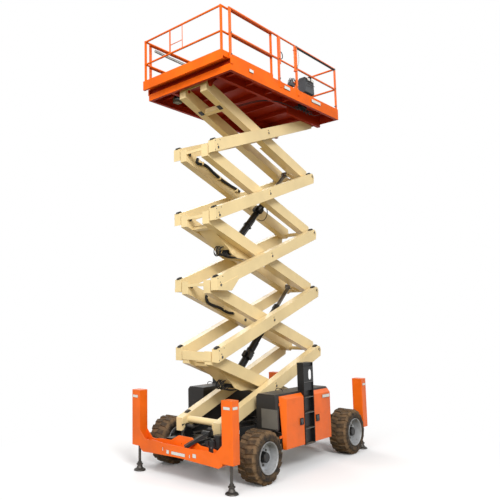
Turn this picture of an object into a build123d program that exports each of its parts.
from build123d import *
import os
from math import asin, atan2, cos, degrees, radians, sin, sqrt, tan

# Self-propelled scissor lift for rough ground, millimetres.
# Frame: X across the machine, -Y to the front (steered end), +Z up, ground at z = 0.

os.makedirs("parts", exist_ok=True)

# ---------------------------------------------------------------- driving dimensions
# wheels and axles
wheel_centre_x = 1000
tyre_radius = 420
tyre_width = 390
lug_height = 24
lug_count = 18
lug_width = 76
lug_slant = 30
rim_radius = 252
front_axle_y = -1322
rear_axle_y = 1537
axle_height = 420
kingpin_x = 840
kingpin_radius = 24
axle_tube_radius = 75
spindle_radius = 56

# levelling jacks
jack_x = 1028
jack_y = 2085
housing_width = 205
housing_depth = 180
housing_top_z = 1384
housing_bottom_z = 438
housing_wall = 12
jack_rod_radius = 24
jack_pad_radius = 105
jack_rod_top_z = 960
jack_cone_height = 150
beam_top_z = 565
beam_bottom_z = 385

# scissor stack
level_count = 5
link_length = 3310
lift_angle = 21.325
front_pin_y = -1610
base_pin_z = 783
tube_depth = 210
tube_width = 148
tube_wall = 8
boss_wall = 12
outer_tube_x = 348
inner_tube_x = 182
pin_offset = 50
pin_radius = 30
running_clearance = 0.05
seat_gap = 0.3
knuckle_tube_radius = 38
front_tie_radius = 58
front_tie_along = 104
front_tie_up = 19
front_overhang = 115
rear_overhang = 75
pin_head_radius = 24
pin_head_height = 10
end_wall = 10
stop_plate = 8
roller_radius = 52
roller_width = 50

# frame
frame_top_z = 620
rail_width = 117
rail_wall = 10
nose_z = 520
nose_rear_y = -1540
filter_x = 640
filter_radius = 80
filter_height = 290

# covers
cover_x = 1060
cover_bottom_z = 410
cover_top_z = 1300
cover_front_y = -740
cover_rear_y = 860
box_front_y = -850
box_inner_x = 608
box_step_y = -690
box_step_z = 745
hood_height = 50
ladder_front_y = -45
ladder_rear_y = 275
hinge_offset = 8
ladder_outer_x = 1068
ladder_top_z = 1820
ladder_sheet = 8
tower_x = 935
tower_lip = 28
rung_count = 5
door_thickness = 60
door_sheet = 5
front_chamfer = 146
top_chamfer = 60
latch_z = 820
front_latch_gap = 85
rear_latch_gap = 115

# platform
platform_half = 1006
platform_front_lead = 240
platform_rear_lead = 306
floor_above_pin = 199
fascia_depth = 227
curb_height = 10
rail_height = 925
mid_rail_height = 450
rail_radius = 20
post_width = 50
post_depth = 25
extension_lead = 168
extension_length = 1488
extension_inset = 50
gate_front_y = -372
gate_rear_y = 232
gate_bar_radius = 16
rib_count = 6
control_y = 640
control_length = 320

# lift cylinders
barrel_base_y = -800
barrel_base_z = 1445
rod_eye_back = 268
barrel_radius = 62
gusset_x = 148
barrel_length = 2100
lift_rod_radius = 38
cylinder_pin_radius = 28

# ---------------------------------------------------------------- derived positions
rise = link_length * sin(radians(lift_angle))
run = link_length * cos(radians(lift_angle))
tube_pitch = degrees(asin(2 * pin_offset / link_length))
tube_angle = lift_angle - tube_pitch
tube_run = sqrt(link_length**2 - (2 * pin_offset) ** 2)
end_slant = tube_depth * tan(radians(tube_angle))
rear_pin_y = front_pin_y + run
outer_face_x = outer_tube_x + tube_width
inner_face_x = inner_tube_x + tube_width
top_pin_z = base_pin_z + level_count * rise
floor_top_z = top_pin_z + floor_above_pin
fascia_top_z = floor_top_z + curb_height
platform_bottom_z = fascia_top_z - fascia_depth
rail_top_z = floor_top_z + rail_height
mid_rail_z = floor_top_z + mid_rail_height
platform_front_y = front_pin_y - platform_front_lead
platform_rear_y = rear_pin_y + platform_rear_lead
extension_front_y = platform_front_y - extension_lead
extension_rear_y = extension_front_y + extension_length
extension_half = platform_half - extension_inset


def side_plane(x, y, z, angle):
    """Plane seen from +X: its x axis runs to the rear along the angle, its y axis up."""
    a = radians(angle)
    return Plane(origin=(x, y, z), x_dir=(0, cos(a), sin(a)), z_dir=(1, 0, 0))


def outer_plane(x, level):
    """Side plane of an outer link, with its origin on the tube's centre line at the front pin."""
    a = radians(tube_angle)
    z = base_pin_z + (level - 1) * rise
    return side_plane(x, front_pin_y - pin_offset * sin(a), z + pin_offset * cos(a), tube_angle)


def inner_plane(x, level):
    """Side plane of an inner link, with its origin on the tube's centre line at the front pin."""
    a = radians(tube_angle)
    z = base_pin_z + level * rise
    return side_plane(x, front_pin_y - pin_offset * sin(a), z - pin_offset * cos(a), -tube_angle)


def slab(x_range, y_range, z_range, mode=Mode.ADD):
    """Block between two limits on each axis, added to the open part."""
    x0, x1 = x_range
    y0, y1 = y_range
    z0, z1 = z_range
    with Locations(((x0 + x1) / 2, (y0 + y1) / 2, (z0 + z1) / 2)):
        Box(x1 - x0, y1 - y0, z1 - z0, mode=mode)


def write(part, label):
    """Label a finished piece and write it as its own STEP file."""
    part.label = label
    export_step(part, f"parts/{label}.step")


# ---------------------------------------------------------------- scissor links
outer_pins = [(0, -pin_offset), (tube_run / 2, 0), (tube_run, pin_offset)]
inner_bores = [(0, pin_offset), (tube_run / 2, 0), (tube_run, -pin_offset)]


def outer_link(level):
    """Pair of outer tubes with the pins that carry the inner pair."""
    half = tube_depth / 2
    end = tube_run + rear_overhang
    with BuildPart() as link:
        with BuildSketch(outer_plane(outer_tube_x, level)):
            with BuildLine():
                Polyline(
                    (-front_overhang, -half),
                    (-front_overhang + end_slant, half),
                    (end - 40, half),
                    (end, half - 50),
                    (end, 0),
                    (end - 60, -half),
                    close=True,
                )
            make_face()
        extrude(amount=tube_width)
        with BuildSketch(outer_plane(outer_tube_x + tube_wall, level)):
            with BuildLine():
                Polyline(
                    (-front_overhang + tube_wall / sin(radians(90 - tube_angle)), tube_wall - half),
                    (-front_overhang + end_slant + end_wall, half - tube_wall),
                    (end - 42, half - tube_wall),
                    (end - tube_wall, half - 54),
                    (end - tube_wall, 0),
                    (end - 64, tube_wall - half),
                    close=True,
                )
            make_face()
        extrude(amount=tube_width - 2 * tube_wall, mode=Mode.SUBTRACT)
        with BuildSketch(outer_plane(inner_tube_x - 12, level)):
            with Locations(*outer_pins):
                Circle(pin_radius)
        extrude(amount=outer_tube_x - inner_tube_x + 14)
        with BuildSketch(outer_plane(outer_face_x, level)):
            with Locations(*outer_pins):
                Circle(pin_head_radius)
        extrude(amount=pin_head_height)
        if level == 1:
            with BuildSketch(outer_plane(0, level)):
                with Locations((front_tie_along, front_tie_up)):
                    Circle(front_tie_radius)
            extrude(amount=outer_tube_x)
            with BuildSketch(outer_plane(inner_face_x + 4, level)):
                with BuildLine():
                    Polyline((-100, -10), (-60, 95), (110, 95), (150, -40), (60, -40), (20, -6), (-20, -6), close=True)
                make_face()
                fillet(vertices().sort_by(Axis.Y)[-2:], radius=24)
            extrude(amount=outer_tube_x - inner_face_x - 4)
        if level == 3:
            with BuildSketch(outer_plane(outer_face_x, level)):
                with BuildLine():
                    Polyline(
                        (-front_overhang + 20, 60 - half),
                        (-front_overhang, -half),
                        (243, -half - 126),
                        (500, -half),
                        (500, 60 - half),
                        close=True,
                    )
                make_face()
                fillet(vertices().sort_by(Axis.Y)[0], radius=40)
            extrude(amount=stop_plate)
        mirror(about=Plane.YZ)
    return link.part


def inner_link(level):
    """Pair of inner tubes joined by a plate at the front end and a tube at the rear end."""
    half = tube_depth / 2
    end = tube_run + rear_overhang
    knuckle_z = base_pin_z + level * rise
    end_face_y = inner_plane(0, level).from_local_coords((-front_overhang, half, 0)).Y
    with BuildPart() as link:
        with BuildSketch(inner_plane(inner_tube_x, level)):
            with BuildLine():
                Polyline(
                    (-front_overhang + end_slant, -half),
                    (-front_overhang, half),
                    (end - 60, half),
                    (end, 0),
                    (end, 50 - half),
                    (end - 40, -half),
                    close=True,
                )
            make_face()
        extrude(amount=tube_width)
        with BuildSketch(inner_plane(inner_tube_x + tube_wall, level)):
            with BuildLine():
                Polyline(
                    (-front_overhang + end_slant + end_wall, tube_wall - half),
                    (-front_overhang + tube_wall / sin(radians(90 - tube_angle)), half - tube_wall),
                    (end - 64, half - tube_wall),
                    (end - tube_wall, 0),
                    (end - tube_wall, 54 - half),
                    (end - 42, tube_wall - half),
                    close=True,
                )
            make_face()
        extrude(amount=tube_width - 2 * tube_wall, mode=Mode.SUBTRACT)
        with BuildSketch(inner_plane(inner_tube_x, level)):
            with Locations(*inner_bores):
                Circle(pin_radius + boss_wall)
        extrude(amount=tube_width)
        with BuildSketch(inner_plane(0, level)):
            with Locations(inner_bores[-1]):
                Circle(knuckle_tube_radius)
        extrude(amount=inner_tube_x)
        if level == 1:
            slab((0, inner_face_x), (end_face_y - 12, end_face_y), (knuckle_z - 70, knuckle_z + 80))
        else:
            slab((0, inner_tube_x + 1), (end_face_y, end_face_y + 80), (knuckle_z + 26, knuckle_z + 42))
            slab((0, inner_tube_x + 1), (end_face_y, end_face_y + 12), (knuckle_z - 10, knuckle_z + 42))
        with BuildSketch(inner_plane(inner_tube_x - 20, level)):
            with Locations(*inner_bores):
                Circle(pin_radius + running_clearance)
        extrude(amount=tube_width + 20, mode=Mode.SUBTRACT)
        mirror(about=Plane.YZ)
    return link.part


# cylinder bases hang under the front half of inner links 1 and 3
gusset_thickness = 20
base_dy = barrel_base_y - front_pin_y
base_dz = barrel_base_z - (base_pin_z + rise)
tube_cos = cos(radians(tube_angle))
tube_sin = sin(radians(tube_angle))
base_along = (base_dy + pin_offset * tube_sin) * tube_cos - (base_dz + pin_offset * tube_cos) * tube_sin
base_up = (base_dy + pin_offset * tube_sin) * tube_sin + (base_dz + pin_offset * tube_cos) * tube_cos
eye_along = tube_run - rod_eye_back
eye_up = -63
eye_slot_half = 125
panel_plate = 8


def carrying_link(level, has_base, has_eye):
    """Inner link with a cylinder's base gussets, its rod-eye lugs, or both."""
    half = tube_depth / 2
    with BuildPart() as link:
        add(inner_link(level))
        if has_base:
            with BuildSketch(inner_plane(gusset_x, level)):
                with BuildLine():
                    Polyline(
                        (120, -30),
                        (base_along - 150, base_up - 30),
                        (base_along - 60, base_up - 80),
                        (base_along + 130, base_up - 80),
                        (base_along + 640, -half),
                        (base_along + 640, -30),
                        (base_along + 520, -30),
                        (base_along + 120, base_up + 110),
                        (base_along - 260, base_up + 110),
                        (300, -30),
                        close=True,
                    )
                make_face()
                fillet(vertices().sort_by(Axis.Y)[:2], radius=70)
            extrude(amount=gusset_thickness)
            with BuildSketch(inner_plane(0, level)):
                with Locations((base_along, base_up)):
                    Circle(cylinder_pin_radius)
            extrude(amount=gusset_x + gusset_thickness + 8)
            with BuildSketch(inner_plane(gusset_x + gusset_thickness, level)):
                with Locations((base_along, base_up)):
                    Circle(cylinder_pin_radius + 26)
            extrude(amount=8)
            with BuildSketch(inner_plane(gusset_x + gusset_thickness - 1, level)):
                with Locations((base_along - 70, 30 - half)):
                    Rectangle(360, 50)
            extrude(amount=inner_tube_x - gusset_x - gusset_thickness + 2)
            with BuildSketch(inner_plane(0, level)):
                with BuildLine():
                    Polyline(
                        (120, -30),
                        (base_along - 150, base_up - 30),
                        (base_along - 144, base_up - 22),
                        (126, -22),
                        close=True,
                    )
                make_face()
            extrude(amount=gusset_x + 1)
            for along in (120, base_along + 560):
                with BuildSketch(inner_plane(0, level)):
                    with Locations((along + 40, -half + 34)):
                        Rectangle(80, 50)
                    with Locations((along + 40, -half + 34)):
                        Rectangle(64, 34, mode=Mode.SUBTRACT)
                extrude(amount=inner_tube_x + 1)
        if has_eye:
            panel_start = tube_run / 2 + 260
            panel_end = eye_along - 60
            with BuildSketch(inner_plane(62, level)):
                with BuildLine():
                    Polyline(
                        (eye_along - 48, eye_up - 30),
                        (eye_along - 20, eye_up + 46),
                        (eye_along + 30, eye_up + 46),
                        (tube_run - 14, -10),
                        (tube_run - 14, -86),
                        (eye_along - 20, eye_up - 50),
                        close=True,
                    )
                make_face()
                with Locations((eye_along, eye_up)):
                    Circle(cylinder_pin_radius + running_clearance, mode=Mode.SUBTRACT)
            extrude(amount=22)
            with BuildSketch(inner_plane(eye_slot_half, level)):
                with Locations(((panel_start + panel_end) / 2, panel_plate / 2 - half)):
                    Rectangle(panel_end - panel_start, panel_plate)
            extrude(amount=inner_tube_x - eye_slot_half + 1)
        mirror(about=Plane.YZ)
    return link.part


for level in range(1, level_count + 1):
    write(outer_link(level), f"outer_link_{level}")
    if level % 2 == 1:
        write(carrying_link(level, level < level_count, level > 1), f"inner_link_{level}")
    else:
        write(inner_link(level), f"inner_link_{level}")

# rollers under the lowest inner link and over the highest outer link
with BuildPart() as lower_rollers:
    with BuildSketch(side_plane(inner_face_x, rear_pin_y, base_pin_z, 0)):
        Circle(pin_radius)
    extrude(amount=roller_width + 18)
    with BuildSketch(side_plane(inner_face_x + 10, rear_pin_y, base_pin_z, 0)):
        Circle(roller_radius)
    extrude(amount=roller_width)
    mirror(about=Plane.YZ)
write(lower_rollers.part, "lower_rollers")

with BuildPart() as upper_rollers:
    with BuildSketch(side_plane(outer_face_x + pin_head_height, rear_pin_y, top_pin_z, 0)):
        Circle(pin_radius)
    extrude(amount=roller_width + 6)
    with BuildSketch(side_plane(outer_face_x + 14, rear_pin_y, top_pin_z, 0)):
        Circle(roller_radius)
    extrude(amount=roller_width)
    mirror(about=Plane.YZ)
write(upper_rollers.part, "upper_rollers")

# ---------------------------------------------------------------- hose sleeves held on two inner links
hose_radius = 26
hose_routes = {
    # level of the link: points (along its tube from the front pin, up from its centre line)
    2: [(408, 79), (412, -30), (490, -79), (651, -76), (833, -45), (1058, -62), (1235, -14)],
    4: [(196, 79), (184, -12), (282, 8), (390, 70), (520, 72), (711, 41), (937, 31), (1191, 52), (1400, 79), (1500, 76)],
}


def corner_radii(route):
    """Largest arc that the two runs at each corner of a route allow."""
    radii = []
    for before, corner, after in zip(route, route[1:], route[2:]):
        into = Vector(*corner) - Vector(*before)
        out = Vector(*after) - Vector(*corner)
        run_in = into.length
        run_out = out.length
        turn = into.get_angle(out)
        radii.append(0.45 * min(run_in, run_out) / tan(radians(turn / 2)))
    return radii


for level, route in hose_routes.items():
    with BuildPart() as hose:
        with BuildLine(inner_plane(hose_radius + seat_gap - inner_tube_x, level)) as path:
            FilletPolyline(*route, radius=corner_radii(route))
        with BuildSketch(Plane(origin=path.line @ 0, z_dir=path.line % 0)):
            Circle(hose_radius)
        sweep()
    write(hose.part, f"inner_link_{level}_hose")

# ---------------------------------------------------------------- lift cylinders
eye_y = front_pin_y - pin_offset * tube_sin + eye_along * tube_cos + eye_up * tube_sin
eye_z = base_pin_z + 3 * rise - pin_offset * tube_cos - eye_along * tube_sin + eye_up * tube_cos
lift_dy = eye_y - barrel_base_y
lift_dz = eye_z - barrel_base_z
lift_span = sqrt(lift_dy**2 + lift_dz**2)
lift_dir = (0, lift_dy / lift_span, lift_dz / lift_span)


def cylinder_plane(level_shift, distance):
    """Plane square to a lift cylinder, some way from its base pin."""
    return Plane(
        origin=(
            0,
            barrel_base_y + lift_dir[1] * distance,
            barrel_base_z + lift_dir[2] * distance + level_shift * rise,
        ),
        x_dir=(1, 0, 0),
        z_dir=lift_dir,
    )


for name, level_shift, valve_at in (("lower", 0, 620), ("upper", 2, 1250)):
    base_z = barrel_base_z + level_shift * rise
    with BuildPart() as barrel:
        with BuildSketch(cylinder_plane(level_shift, 60)):
            Circle(barrel_radius)
        extrude(amount=barrel_length - 60)
        with BuildSketch(cylinder_plane(level_shift, barrel_length - 90)):
            Circle(barrel_radius + 10)
        extrude(amount=90)
        with BuildSketch(side_plane(0, barrel_base_y, base_z, 0)):
            Circle(72)
        extrude(amount=58, both=True)
        with BuildSketch(cylinder_plane(level_shift, valve_at)):
            with Locations((barrel_radius + 22, -20)):
                Rectangle(70, 90)
            with Locations((0, -barrel_radius - 14)):
                Rectangle(70, 60)
        extrude(amount=130)
        with BuildSketch(cylinder_plane(level_shift, 200)):
            with Locations((barrel_radius + 12, 0)):
                Circle(9)
        extrude(amount=barrel_length - 300)
        with BuildSketch(cylinder_plane(level_shift, barrel_length - 160)):
            with Locations((barrel_radius + 2, 0)):
                Rectangle(40, 30)
        extrude(amount=70)
        with BuildSketch(side_plane(0, barrel_base_y, base_z, 0)):
            Circle(cylinder_pin_radius + running_clearance)
        extrude(amount=58, both=True, mode=Mode.SUBTRACT)
        with BuildSketch(cylinder_plane(level_shift, 140)):
            Circle(lift_rod_radius + running_clearance)
        extrude(amount=barrel_length, mode=Mode.SUBTRACT)
    write(barrel.part, f"{name}_lift_barrel")
    with BuildPart() as rod:
        with BuildSketch(cylinder_plane(level_shift, 1000)):
            Circle(lift_rod_radius)
        extrude(amount=lift_span - 1000 - 20)
        with BuildSketch(side_plane(0, eye_y, eye_z + level_shift * rise, 0)):
            Circle(58)
        extrude(amount=54, both=True)
        with BuildSketch(side_plane(0, eye_y, eye_z + level_shift * rise, 0)):
            Circle(cylinder_pin_radius)
        extrude(amount=62 - seat_gap, both=True)
    write(rod.part, f"{name}_lift_rod")

# ---------------------------------------------------------------- wheels
tyre_carcass_radius = tyre_radius - lug_height
tyre_half = tyre_width / 2
lug_angle = atan2(lug_slant, tyre_half)
lug_edge = lug_width / 2 * cos(lug_angle) + (tyre_half - 40) * sin(lug_angle)
lug_reach = sqrt(tyre_radius**2 - lug_edge**2)

with BuildPart() as lug:
    with BuildSketch(Plane.XY):
        with BuildLine():
            Polyline(
                (6, tyre_carcass_radius - 12),
                (6, lug_reach),
                (tyre_half - 40, lug_reach),
                (tyre_half - 2, tyre_carcass_radius - 50),
                (tyre_half - 14, tyre_carcass_radius - 62),
                close=True,
            )
        make_face()
    extrude(amount=lug_width / 2, both=True)

lug_turn = 180 / lug_count
slanted_lug = lug.part.rotate(Axis.Y, degrees(lug_angle))
far_lug = mirror(slanted_lug, about=Plane.YZ).rotate(Axis.X, lug_turn)
lugs = [each.rotate(Axis.X, 2 * lug_turn * n) for n in range(lug_count) for each in (slanted_lug, far_lug)]

with BuildPart() as tyre:
    with BuildSketch(Plane.XY):
        with BuildLine():
            Polyline(
                (20 - tyre_half, rim_radius),
                (-tyre_half, rim_radius + 46),
                (-tyre_half, tyre_carcass_radius - 60),
                (45 - tyre_half, tyre_carcass_radius),
                (tyre_half - 45, tyre_carcass_radius),
                (tyre_half, tyre_carcass_radius - 60),
                (tyre_half, rim_radius + 46),
                (tyre_half - 20, rim_radius),
                close=True,
            )
        make_face()
    revolve(axis=Axis.X)
    add(lugs)

with BuildPart() as rim:
    with BuildSketch(Plane.XY):
        with BuildLine():
            Polyline(
                (8 - tyre_half, rim_radius),
                (8 - tyre_half, rim_radius - 14),
                (20, rim_radius - 26),
                (20, spindle_radius + running_clearance),
                (90, spindle_radius + running_clearance),
                (90, 0),
                (150, 0),
                (150, 66),
                (138, 80),
                (66, 88),
                (46, 120),
                (40, 150),
                (52, rim_radius - 34),
                (tyre_half - 14, rim_radius - 16),
                (tyre_half - 4, rim_radius - 8),
                (tyre_half - 4, rim_radius),
                close=True,
            )
        make_face()
    revolve(axis=Axis.X)

wheels = {
    "front_left": (1, front_axle_y),
    "front_right": (-1, front_axle_y),
    "rear_left": (1, rear_axle_y),
    "rear_right": (-1, rear_axle_y),
}
for name, (side, axle_y) in wheels.items():
    place = Location((side * wheel_centre_x, axle_y, axle_height), (0, 0, 90 - side * 90))
    write(tyre.part.moved(place), f"{name}_tyre")
    write(rim.part.moved(place), f"{name}_rim")

# ---------------------------------------------------------------- axles and knuckles
hub_face_x = wheel_centre_x + 20
yoke_half = 140
yoke_plate = 25
yoke_x = kingpin_x - 90
beam_half = 60
rail_inner_x = inner_face_x + 8
rail_outer_x = rail_inner_x + rail_width
rail_bottom_z = axle_height + axle_tube_radius


def axle_beam(axle_y, end_x):
    """Fabricated axle beam, deeper in the middle, with a seat under each frame rail."""
    with BuildPart() as beam:
        with BuildSketch(Plane.XZ.offset(-axle_y - beam_half)):
            with BuildLine():
                Polyline(
                    (0, axle_height + 110),
                    (200, axle_height + 110),
                    (360, axle_height + 60),
                    (end_x, axle_height + 60),
                    (end_x, axle_height - 60),
                    (360, axle_height - 60),
                    (200, axle_height - 100),
                    (0, axle_height - 100),
                    close=True,
                )
            make_face()
            fillet(vertices().filter_by(lambda v: 100 < v.X < 400), radius=30)
        extrude(amount=2 * beam_half)
        slab(
            (rail_inner_x + 10, rail_outer_x - 10),
            (axle_y - beam_half, axle_y + beam_half),
            (axle_height + 60, rail_bottom_z),
        )
    return beam.part


with BuildPart() as front_axle:
    add(axle_beam(front_axle_y, yoke_x))
    slab(
        (yoke_x, yoke_x + 28),
        (front_axle_y - 60, front_axle_y + 60),
        (axle_height - yoke_half, axle_height + yoke_half),
    )
    for bottom in (axle_height - yoke_half, axle_height + yoke_half - yoke_plate):
        with BuildSketch(Plane.XY.offset(bottom)):
            with Locations(((yoke_x + kingpin_x) / 2, front_axle_y)):
                Rectangle(kingpin_x - yoke_x, 100)
            with Locations((kingpin_x, front_axle_y)):
                Circle(50)
            with Locations((kingpin_x, front_axle_y)):
                Circle(kingpin_radius + running_clearance, mode=Mode.SUBTRACT)
        extrude(amount=yoke_plate)
    with BuildSketch(Plane.YZ):
        with Locations((front_axle_y - beam_half - 46, axle_height + 20)):
            Circle(36)
    extrude(amount=250)
    for x in (60, 200):
        slab((x, x + 24), (front_axle_y - beam_half - 30, front_axle_y - beam_half + 1), (axle_height - 10, axle_height + 50))
    mirror(about=Plane.YZ)
write(front_axle.part, "front_axle")

with BuildPart() as knuckle:
    with BuildSketch(Plane.XY.offset(axle_height - yoke_half + yoke_plate + seat_gap)):
        with Locations((kingpin_x, front_axle_y)):
            Circle(48)
    extrude(amount=2 * (yoke_half - yoke_plate - seat_gap))
    with BuildSketch(Plane.XY.offset(axle_height - yoke_half - 12)):
        with Locations((kingpin_x, front_axle_y)):
            Circle(kingpin_radius)
    extrude(amount=2 * yoke_half + 24)
    with BuildSketch(Plane.YZ.offset(kingpin_x)):
        with Locations((front_axle_y, axle_height)):
            Circle(spindle_radius)
    extrude(amount=hub_face_x + 60 - kingpin_x)
    with BuildSketch(Plane.YZ.offset(kingpin_x + 40)):
        with Locations((front_axle_y, axle_height)):
            Circle(spindle_radius + 44)
    extrude(amount=70)
    with BuildSketch(Plane.XY.offset(axle_height + 60)):
        with BuildLine():
            Polyline(
                (kingpin_x - 18, front_axle_y + 30),
                (kingpin_x - 22, front_axle_y + 96),
                (kingpin_x - 48, front_axle_y + 170),
                (kingpin_x - 8, front_axle_y + 170),
                (kingpin_x + 40, front_axle_y + 20),
                close=True,
            )
        make_face()
        fillet(vertices().group_by(Axis.Y)[-1], radius=16)
    extrude(amount=22)
write(knuckle.part, "front_left_knuckle")
write(mirror(knuckle.part, about=Plane.YZ), "front_right_knuckle")

with BuildPart() as rear_axle:
    add(axle_beam(rear_axle_y, kingpin_x - 40))
    with BuildSketch(Plane.YZ):
        with Locations((rear_axle_y, axle_height)):
            Circle(spindle_radius)
    extrude(amount=hub_face_x + 60)
    with BuildSketch(Plane.YZ.offset(kingpin_x - 40)):
        with Locations((rear_axle_y, axle_height)):
            Circle(spindle_radius + 44)
    extrude(amount=120)
    mirror(about=Plane.YZ)
write(rear_axle.part, "rear_axle")

# ---------------------------------------------------------------- main frame
beam_thickness = 12
jack_front_y = jack_y + housing_depth / 2
frame_end_y = jack_front_y - housing_depth
track_top_z = base_pin_z - roller_radius - seat_gap
track_front_y = rear_pin_y - 960
track_rear_y = frame_end_y - 185
bracket_radius = 41

with BuildPart() as frame:
    slab((rail_inner_x, rail_outer_x), (-frame_end_y, frame_end_y), (rail_bottom_z, frame_top_z))
    slab(
        (rail_inner_x + rail_wall, rail_outer_x - rail_wall),
        (-frame_end_y, frame_end_y),
        (rail_bottom_z + rail_wall, frame_top_z - rail_wall),
        mode=Mode.SUBTRACT,
    )
    for y in (-1100, 300, 1700):
        slab((0, rail_inner_x), (y, y + 90), (rail_bottom_z, rail_bottom_z + 90))
    for y in (-560, 0, 600):
        slab((rail_outer_x, box_inner_x), (y, y + 120), (rail_bottom_z, frame_top_z))
    slab((rail_inner_x, rail_inner_x + 70), (track_front_y, track_rear_y), (frame_top_z, track_top_z))
    slab((rail_inner_x + 68, rail_inner_x + 80), (track_front_y, track_rear_y), (frame_top_z, base_pin_z + 10))
    for x0, x1 in ((inner_face_x - 30, inner_face_x - 6), (outer_face_x + pin_head_height + 2, outer_face_x + 20)):
        with BuildSketch(side_plane(x0, front_pin_y, base_pin_z, 0)):
            Circle(bracket_radius)
            with BuildLine():
                Polyline(
                    (-170, frame_top_z - base_pin_z),
                    (-bracket_radius, 0),
                    (bracket_radius, 0),
                    (150, frame_top_z - base_pin_z),
                    close=True,
                )
            make_face()
            Circle(pin_radius + running_clearance, mode=Mode.SUBTRACT)
        extrude(amount=x1 - x0)
    for x0, x1 in ((inner_face_x - 30, rail_inner_x), (rail_outer_x, outer_face_x + 20)):
        slab((x0, x1), (front_pin_y - 170, front_pin_y + 150), (rail_bottom_z, frame_top_z))
    slab((0, rail_inner_x), (nose_rear_y, nose_rear_y + 100), (rail_bottom_z + 20, frame_top_z))
    with BuildSketch(Plane.XZ.offset(frame_end_y)):
        with Locations((0, nose_z + 10)):
            Rectangle(150, 90)
    with BuildSketch(Plane.XZ.offset(-nose_rear_y)):
        with Locations((0, nose_z + 60)):
            Rectangle(300, 150)
    loft()
    mirror(about=Plane.YZ)
    with BuildSketch(Plane.XY.offset(rail_bottom_z)):
        with Locations((filter_x, -frame_end_y + 105)):
            Circle(filter_radius)
    extrude(amount=filter_height)
    with BuildSketch(Plane.XY.offset(rail_bottom_z + filter_height - 34)):
        with Locations((filter_x, -frame_end_y + 105)):
            Circle(filter_radius + 12)
    extrude(amount=20)
    with BuildSketch(Plane.XY.offset(frame_top_z - 45)):
        with Locations(((rail_outer_x + filter_x) / 2, -frame_end_y + 105)):
            Rectangle(filter_x - rail_outer_x + 4, 70)
    extrude(amount=20)
write(frame.part, "main_frame")

# ---------------------------------------------------------------- levelling beams and jacks
housing_inner_x = jack_x - housing_width / 2
housing_outer_x = jack_x + housing_width / 2
jack_rear_y = jack_front_y - housing_depth


def beam_plate(y, hump, thickness):
    """Upright beam plate facing the front, its upper edge dipping beside the jack housings."""
    with BuildPart() as plate:
        with BuildSketch(Plane.XZ.offset(-y)):
            with BuildLine():
                Polyline(
                    (0, beam_bottom_z),
                    (0, beam_top_z + hump),
                    (150, beam_top_z + hump),
                    (330, beam_top_z + hump / 4),
                    (620, beam_top_z + 22),
                    (700, beam_top_z + 4),
                    (790, beam_top_z + 10),
                    (housing_inner_x, beam_top_z + 145),
                    (housing_inner_x, housing_bottom_z - 30),
                    (850, beam_bottom_z - 30),
                    (700, beam_bottom_z - 22),
                    close=True,
                )
            make_face()
            fillet(vertices().filter_by(lambda v: 600 < v.X < 860), radius=30)
        extrude(amount=-thickness)
    return plate.part


def levelling_beam():
    """Channel beam between two hollow jack housings, open at the top."""
    with BuildPart() as beam:
        add(beam_plate(-jack_front_y, 0, beam_thickness))
        add(beam_plate(-jack_rear_y - beam_thickness, 130, beam_thickness))
        with BuildSketch(Plane.XZ.offset(jack_front_y - 1)):
            with BuildLine():
                Polyline(
                    (0, beam_bottom_z),
                    (0, beam_bottom_z + beam_thickness),
                    (690, beam_bottom_z + beam_thickness - 22),
                    (840, beam_bottom_z + beam_thickness - 28),
                    (housing_inner_x, housing_bottom_z - 14),
                    (housing_inner_x, housing_bottom_z - 28),
                    (850, beam_bottom_z - 28),
                    (700, beam_bottom_z - 20),
                    close=True,
                )
            make_face()
        extrude(amount=2 - housing_depth)
        slab((housing_inner_x, housing_outer_x), (-jack_front_y, -jack_rear_y), (housing_bottom_z, housing_top_z))
        slab(
            (housing_inner_x + housing_wall, housing_outer_x - housing_wall),
            (-jack_front_y + housing_wall, -jack_rear_y - housing_wall),
            (housing_bottom_z + 60, housing_top_z - housing_wall),
            mode=Mode.SUBTRACT,
        )
        with BuildSketch(Plane.XY.offset(housing_bottom_z - 1)):
            with Locations((jack_x, -jack_y)):
                Circle(jack_rod_radius + running_clearance)
        extrude(amount=80, mode=Mode.SUBTRACT)
        mirror(about=Plane.YZ)
        chamfer(beam.edges().filter_by(Axis.Z).filter_by(lambda e: e.length > 900), length=8)
    return beam.part


beam = levelling_beam()
write(beam, "front_levelling_beam")
write(mirror(beam, about=Plane.XZ), "rear_levelling_beam")

with BuildPart() as jack:
    with BuildSketch(Plane.XZ):
        with BuildLine():
            Polyline(
                (0, 0),
                (jack_pad_radius - 14, 0),
                (jack_pad_radius, 8),
                (jack_pad_radius - 8, 22),
                (58, 44),
                (42, 88),
                (56, 100),
                (56, 118),
                (36, 128),
                (36, jack_cone_height),
                (jack_rod_radius, jack_cone_height),
                (jack_rod_radius, jack_rod_top_z),
                (0, jack_rod_top_z),
                close=True,
            )
        make_face()
    revolve(axis=Axis.Z)
for name, (side, front) in {
    "front_left": (1, -1),
    "front_right": (-1, -1),
    "rear_left": (1, 1),
    "rear_right": (-1, 1),
}.items():
    write(jack.part.moved(Location((side * jack_x, front * jack_y, 0))), f"{name}_jack")

# ---------------------------------------------------------------- side boxes, doors and ladder
box_wall = 8
box_outer_x = cover_x - door_thickness - seat_gap
box_top_z = cover_top_z - 20
box_bottom_z = cover_bottom_z + 10
box_rear_y = cover_rear_y + 33
hinge_x = box_outer_x + hinge_offset
hinge_barrel_radius = 7
hinge_barrel_height = 44
hinge_heights = (cover_bottom_z + 150, cover_top_z - 200)


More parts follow.
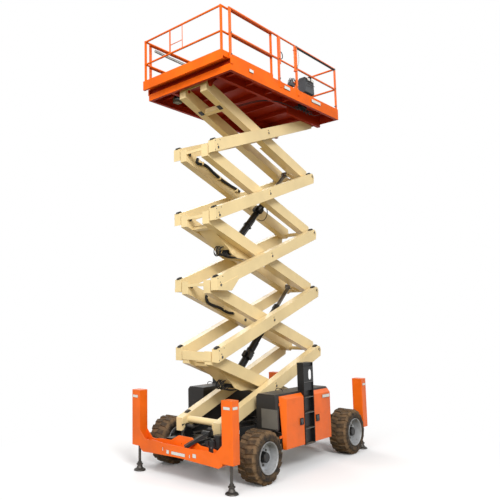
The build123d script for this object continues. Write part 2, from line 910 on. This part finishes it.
def side_profile(inset):
    """Side outline of an equipment box, stepped up over the front tyre."""
    with BuildSketch() as outline:
        with BuildLine():
            Polyline(
                (box_front_y + inset, box_top_z - inset),
                (box_front_y + inset, box_step_z + inset),
                (box_step_y + inset, box_step_z - 60 + inset),
                (box_step_y + inset, box_bottom_z + inset),
                (box_rear_y - inset, box_bottom_z + inset),
                (box_rear_y - inset, box_top_z - inset),
                close=True,
            )
        make_face()
    return outline.sketch


def side_box():
    """Equipment box beside the link stack, open to the outside behind its doors, under a raised hood."""
    with BuildPart() as box:
        with BuildSketch(Plane.YZ.offset(box_inner_x)):
            add(side_profile(0))
        extrude(amount=box_outer_x - box_inner_x)
        with BuildSketch(Plane.YZ.offset(box_inner_x + box_wall)):
            add(side_profile(box_wall))
        extrude(amount=box_outer_x - box_inner_x, mode=Mode.SUBTRACT)
        for y in (ladder_front_y, ladder_rear_y - box_wall):
            slab((box_inner_x, box_outer_x), (y, y + box_wall), (box_bottom_z, box_top_z))
        with BuildSketch(Plane.XY.offset(box_top_z)):
            with Locations(((box_inner_x + box_outer_x) / 2, (box_front_y + box_rear_y) / 2)):
                Rectangle(box_outer_x - box_inner_x, box_rear_y - box_front_y)
        with BuildSketch(Plane.XY.offset(box_top_z + hood_height)):
            with Locations(((box_inner_x + box_outer_x) / 2, (box_front_y + box_rear_y) / 2)):
                Rectangle(box_outer_x - box_inner_x - 50, box_rear_y - box_front_y - 50)
        loft()
        slab(
            (box_inner_x + 130, box_outer_x - 16),
            (box_front_y - 4, box_front_y + 1),
            (box_step_z + 22, box_step_z + 330),
        )
        for edge_y, away, end_y, bottom in (
            (cover_front_y, -1, box_front_y, box_step_z),
            (cover_rear_y, 1, box_rear_y, box_bottom_z),
        ):
            hinge_y = edge_y + away * hinge_offset
            slab((box_outer_x - box_wall, box_outer_x), sorted((hinge_y, end_y)), (bottom, box_top_z))
            for z in hinge_heights:
                web = sorted((hinge_y, hinge_y + away * hinge_barrel_radius))
                slab((box_outer_x - 2, hinge_x), web, (z, z + hinge_barrel_height))
                with BuildSketch(Plane.XY.offset(z)):
                    with Locations((hinge_x, hinge_y)):
                        Circle(hinge_barrel_radius)
                extrude(amount=hinge_barrel_height)
    return box.part


box = side_box()
write(box, "left_side_box")
write(mirror(box, about=Plane.YZ), "right_side_box")


def door(front, rear, front_slope, flank, hinge_edge, latch_y):
    """Pan-shaped door with chamfered edges, its hinge barrels on one edge and a latch on the other."""
    with BuildPart() as leaf:
        for inset, mode in ((0, Mode.ADD), (door_sheet, Mode.SUBTRACT)):
            with BuildSketch(Plane.YZ.offset(cover_x - door_thickness)):
                with BuildLine():
                    Polyline(
                        (front + inset, cover_top_z - inset),
                        (front + front_slope + inset, cover_bottom_z + inset),
                        (rear - inset, cover_bottom_z + inset),
                        (rear - inset, cover_top_z - inset),
                        close=True,
                    )
                make_face()
            with BuildSketch(Plane.YZ.offset(cover_x - inset)):
                with BuildLine():
                    Polyline(
                        (front + flank + inset, cover_top_z - top_chamfer - inset),
                        (front + front_slope + 17 + inset, cover_bottom_z + 8 + inset),
                        (rear - 8 - inset, cover_bottom_z + 8 + inset),
                        (rear - 8 - inset, cover_top_z - top_chamfer - inset),
                        close=True,
                    )
                make_face()
            loft(mode=mode)
        away = -1 if hinge_edge < (front + rear) / 2 else 1
        hinge_y = hinge_edge + away * hinge_offset
        for z in hinge_heights:
            top = z + hinge_barrel_height + seat_gap
            with BuildSketch(Plane.XY.offset(top)):
                with Locations((hinge_x, hinge_y)):
                    Circle(hinge_barrel_radius)
            extrude(amount=hinge_barrel_height)
            slope_share = (cover_top_z - z) / (cover_top_z - cover_bottom_z)
            leaf_edge = hinge_edge + (front_slope * slope_share if away < 0 else 0)
            web = sorted((hinge_y, leaf_edge - away * 30))
            slab((cover_x - door_thickness, hinge_x), web, (top, top + hinge_barrel_height))
        with BuildSketch(Plane.YZ.offset(cover_x - 2)):
            with Locations((latch_y, latch_z)):
                RectangleRounded(64, 84, 10)
        extrude(amount=12)
    return leaf.part


front_door = door(cover_front_y, ladder_front_y - 6, 90, front_chamfer, cover_front_y, ladder_front_y - front_latch_gap)
rear_door = door(ladder_rear_y + 6, cover_rear_y, 0, 20, cover_rear_y, ladder_rear_y + rear_latch_gap)
write(front_door, "left_front_door")
write(rear_door, "left_rear_door")
write(mirror(front_door, about=Plane.YZ), "right_front_door")
write(mirror(rear_door, about=Plane.YZ), "right_rear_door")

with BuildPart() as ladder:
    for y, back_x in ((ladder_front_y, tower_x), (ladder_rear_y - ladder_sheet, ladder_outer_x - tower_lip)):
        slab((box_outer_x, ladder_outer_x), (y, y + ladder_sheet), (cover_bottom_z - 10, box_top_z + hood_height))
        slab((back_x, ladder_outer_x), (y, y + ladder_sheet), (box_top_z + hood_height, ladder_top_z))
    slab(
        (box_outer_x, box_outer_x + ladder_sheet),
        (ladder_front_y, ladder_rear_y),
        (cover_bottom_z - 10, cover_top_z + 30),
    )
    slab((tower_x, ladder_outer_x), (ladder_front_y, ladder_rear_y), (ladder_top_z - ladder_sheet, ladder_top_z))
    rung_pitch = (ladder_top_z - 70 - cover_bottom_z) / rung_count
    slab(
        (ladder_outer_x - tower_lip, ladder_outer_x - tower_lip + ladder_sheet),
        (ladder_front_y, ladder_rear_y),
        (box_top_z + hood_height - 1, cover_bottom_z + (rung_count - 1) * rung_pitch),
    )
    for n in range(rung_count + 1):
        z = cover_bottom_z - 10 + n * rung_pitch
        slab((box_outer_x, ladder_outer_x), (ladder_front_y, ladder_rear_y), (z, z + 14))
    slot_z = cover_bottom_z - 10 + (rung_count - 0.5) * rung_pitch
    with BuildSketch(Plane.YZ.offset(ladder_outer_x - ladder_sheet)):
        with Locations(((ladder_front_y + ladder_rear_y) / 2, slot_z)):
            Rectangle(ladder_rear_y - ladder_front_y, rung_pitch)
        with Locations(((ladder_front_y + ladder_rear_y) / 2 + 50, slot_z)):
            SlotOverall(rung_pitch - 84, 96, rotation=90, mode=Mode.SUBTRACT)
    extrude(amount=ladder_sheet)
    mirror(about=Plane.YZ)
write(ladder.part, "ladders")

with BuildPart() as engine:
    slab(
        (box_inner_x + box_wall, box_outer_x - 80),
        (ladder_rear_y + 30, cover_rear_y - 30),
        (box_bottom_z + box_wall, cover_top_z - 260),
    )
write(engine.part, "engine_block")

# ---------------------------------------------------------------- platform
fascia = 10
floor_sheet = 6
rib_depth = 90
track_web_x = outer_face_x + 14 + roller_width + 6
roof_z = top_pin_z + roller_radius + seat_gap
inside_half = platform_half - fascia

with BuildPart() as deck:
    slab((0, inside_half), (platform_front_y, platform_rear_y), (floor_top_z - floor_sheet, floor_top_z))
    slab((inside_half, platform_half), (platform_front_y, platform_rear_y), (platform_bottom_z, fascia_top_z))
    slab((platform_half - 60, platform_half), (platform_front_y, platform_rear_y), (platform_bottom_z, platform_bottom_z + 8))
    slab((0, inside_half), (platform_front_y, platform_front_y + fascia), (platform_bottom_z, floor_top_z - 95))
    slab((0, inside_half), (platform_front_y, platform_front_y + 60), (platform_bottom_z, platform_bottom_z + 8))
    slab((0, inside_half), (platform_rear_y - fascia, platform_rear_y), (platform_bottom_z, fascia_top_z))
    slab((0, inside_half), (platform_front_y + 50, platform_front_y + 60), (platform_bottom_z, floor_top_z - floor_sheet))
    for n in range(rib_count):
        y = platform_front_y + 400 + n * (platform_rear_y - platform_front_y - 700) / (rib_count - 1)
        slab((0, inside_half), (y, y + 8), (floor_top_z - rib_depth, floor_top_z - floor_sheet))
        slab((0, inside_half), (y - 20, y + 28), (floor_top_z - rib_depth - 6, floor_top_z - rib_depth))
    for x in (outer_face_x + 10, track_web_x):
        slab((x, x + 10), (platform_front_y + 60, platform_rear_y - fascia), (roof_z, floor_top_z - floor_sheet))
    slab((outer_face_x + 10, track_web_x + 10), (platform_front_y + 60, platform_rear_y - fascia), (roof_z, roof_z + 10))
    slab((track_web_x, track_web_x + 10), (rear_pin_y - 980, platform_rear_y - fascia), (top_pin_z - 80, roof_z))
    slab(
        (outer_face_x + 12, track_web_x + 10),
        (rear_pin_y - 980, platform_rear_y - fascia),
        (top_pin_z - 80, top_pin_z - 70),
    )
    with BuildSketch(side_plane(inner_face_x + 6, front_pin_y, top_pin_z, 0)):
        Circle(46)
        with BuildLine():
            Polyline(
                (-130, floor_top_z - floor_sheet - top_pin_z),
                (-46, 0),
                (46, 0),
                (150, floor_top_z - floor_sheet - top_pin_z),
                close=True,
            )
        make_face()
    extrude(amount=24)
    with BuildSketch(side_plane(inner_tube_x - 12, front_pin_y, top_pin_z, 0)):
        Circle(pin_radius)
    extrude(amount=tube_width + 40)
    for y in (platform_front_y + 25, gate_front_y, gate_rear_y):
        slab((platform_half, platform_half + 12), (y - 34, y + 34), (fascia_top_z - 120, fascia_top_z))
    mirror(about=Plane.YZ)
write(deck.part, "main_deck")

rail_x = inside_half - post_depth / 2
rail_heights = (mid_rail_z, rail_top_z - rail_radius)
post_bottom_z = floor_top_z
post_x = (rail_x - post_depth / 2, rail_x + post_depth / 2)
rear_rail_y = platform_rear_y - fascia - rail_radius - 4
gate_hinge_y = gate_rear_y - 52


def side_rail(front, rear, posts, side):
    """One panel of guard rail along a side of the platform, with upright posts."""
    with BuildPart() as rail:
        for z in rail_heights:
            with BuildSketch(Plane.XZ.offset(-front)):
                with Locations((side * rail_x, z)):
                    Circle(rail_radius)
            extrude(amount=front - rear)
        for y in posts:
            x0, x1 = sorted((side * post_x[0], side * post_x[1]))
            slab((x0, x1), (y - post_width / 2, y + post_width / 2), (post_bottom_z, rail_top_z - rail_radius))
    return rail.part


front_post_y = platform_front_y + post_width / 2
rear_post_y = platform_rear_y - fascia - post_width / 2
write(side_rail(platform_front_y, gate_front_y, (front_post_y, gate_front_y), 1), "left_front_rail")
with BuildPart() as left_rear_rail:
    add(side_rail(gate_rear_y, rear_post_y, (gate_rear_y, rear_post_y), 1))
    for z in (mid_rail_z - 70, rail_top_z - 120):
        with BuildSketch(Plane.XY.offset(z)):
            with Locations((rail_x, gate_hinge_y + 12)):
                Rectangle(44, 68)
            with Locations((rail_x, gate_hinge_y)):
                Circle(gate_bar_radius + running_clearance, mode=Mode.SUBTRACT)
        extrude(amount=12)
write(left_rear_rail.part, "left_rear_rail")
write(
    side_rail(platform_front_y, rear_post_y, (front_post_y, gate_front_y, gate_rear_y, rear_post_y), -1),
    "right_rail",
)
with BuildPart() as rear_rail:
    for z in rail_heights:
        with BuildSketch(Plane.YZ):
            with Locations((rear_post_y, z)):
                Circle(rail_radius)
        extrude(amount=rail_x - rail_radius)
    slab((0, post_depth / 2), (rear_post_y - post_width / 2, rear_post_y + post_width / 2), (post_bottom_z, rail_top_z - rail_radius))
    mirror(about=Plane.YZ)
write(rear_rail.part, "rear_rail")

gate_end_y = gate_front_y + post_width / 2 + 7
with BuildPart() as gate:
    for z in rail_heights:
        with BuildSketch(Plane.XZ.offset(-gate_end_y)):
            with Locations((rail_x, z)):
                Circle(rail_radius - 3)
        extrude(amount=gate_end_y - gate_hinge_y - 8)
    for y in (gate_end_y + gate_bar_radius, gate_hinge_y):
        with BuildSketch(Plane.XY.offset(mid_rail_z - 80)):
            with Locations((rail_x, y)):
                Circle(gate_bar_radius)
        extrude(amount=rail_height - mid_rail_height - rail_radius + 80)
write(gate.part, "entry_gate")

extension_rail_x = extension_half - 22
extension_rail_radius = rail_radius - 2
extension_floor_z = floor_top_z + 6
with BuildPart() as extension:
    slab((0, extension_half), (extension_front_y, extension_rear_y), (extension_floor_z, extension_floor_z + 16))
    for x in (0, extension_half - 80):
        slab((x, x + 60), (platform_front_y, extension_rear_y), (floor_top_z + seat_gap, extension_floor_z))
    slab((0, extension_half + 20), (extension_front_y - 12, extension_front_y), (floor_top_z - 55, floor_top_z + 115))
    slab((0, extension_half + 20), (extension_front_y - 12, extension_front_y + 36), (floor_top_z - 61, floor_top_z - 55))
    slab((extension_half - 6, extension_half), (extension_front_y, extension_rear_y), (extension_floor_z, floor_top_z + 110))
    for z in rail_heights:
        with BuildSketch(Plane.XZ.offset(-extension_front_y)):
            with Locations((extension_rail_x, z)):
                Circle(extension_rail_radius)
        extrude(amount=extension_front_y - extension_rear_y)
        with BuildSketch(Plane.YZ):
            with Locations((extension_front_y + 20, z)):
                Circle(extension_rail_radius)
        extrude(amount=extension_rail_x)
    for y in (extension_front_y + 20, extension_rear_y - 20):
        slab(
            (extension_rail_x - 14, extension_rail_x + 14),
            (y - 20, y + 20),
            (extension_floor_z, rail_top_z - rail_radius),
        )
    mirror(about=Plane.YZ)
    with BuildSketch(Plane.XY.offset(mid_rail_z)):
        with Locations((-280, extension_front_y + 20)):
            Circle(14)
    extrude(amount=rail_height - mid_rail_height - rail_radius)
    with BuildSketch(Plane.XY.offset(mid_rail_z)):
        with Locations((30, extension_front_y + 20)):
            Circle(7)
    extrude(amount=rail_height - mid_rail_height - rail_radius)
    with BuildSketch(Plane.YZ.offset(-280)):
        with Locations((extension_front_y + 20, mid_rail_z + 160)):
            Circle(7)
    extrude(amount=310)
write(extension.part, "extension_deck")

with BuildPart() as control_box:
    with BuildSketch(Plane.XZ.offset(-control_y)):
        with BuildLine():
            Polyline(
                (rail_x - 230, mid_rail_z - 330),
                (rail_x - 240, mid_rail_z - 90),
                (rail_x - 200, mid_rail_z - 20),
                (rail_x - 60, mid_rail_z - 20),
                (rail_x - 50, mid_rail_z - 330),
                close=True,
            )
        make_face()
        fillet(vertices(), radius=12)
    extrude(amount=-control_length)
    slab(
        (rail_x - 62, rail_x - rail_radius),
        (control_y + 100, control_y + 180),
        (mid_rail_z - 50, mid_rail_z),
    )
write(control_box.part, "control_box")
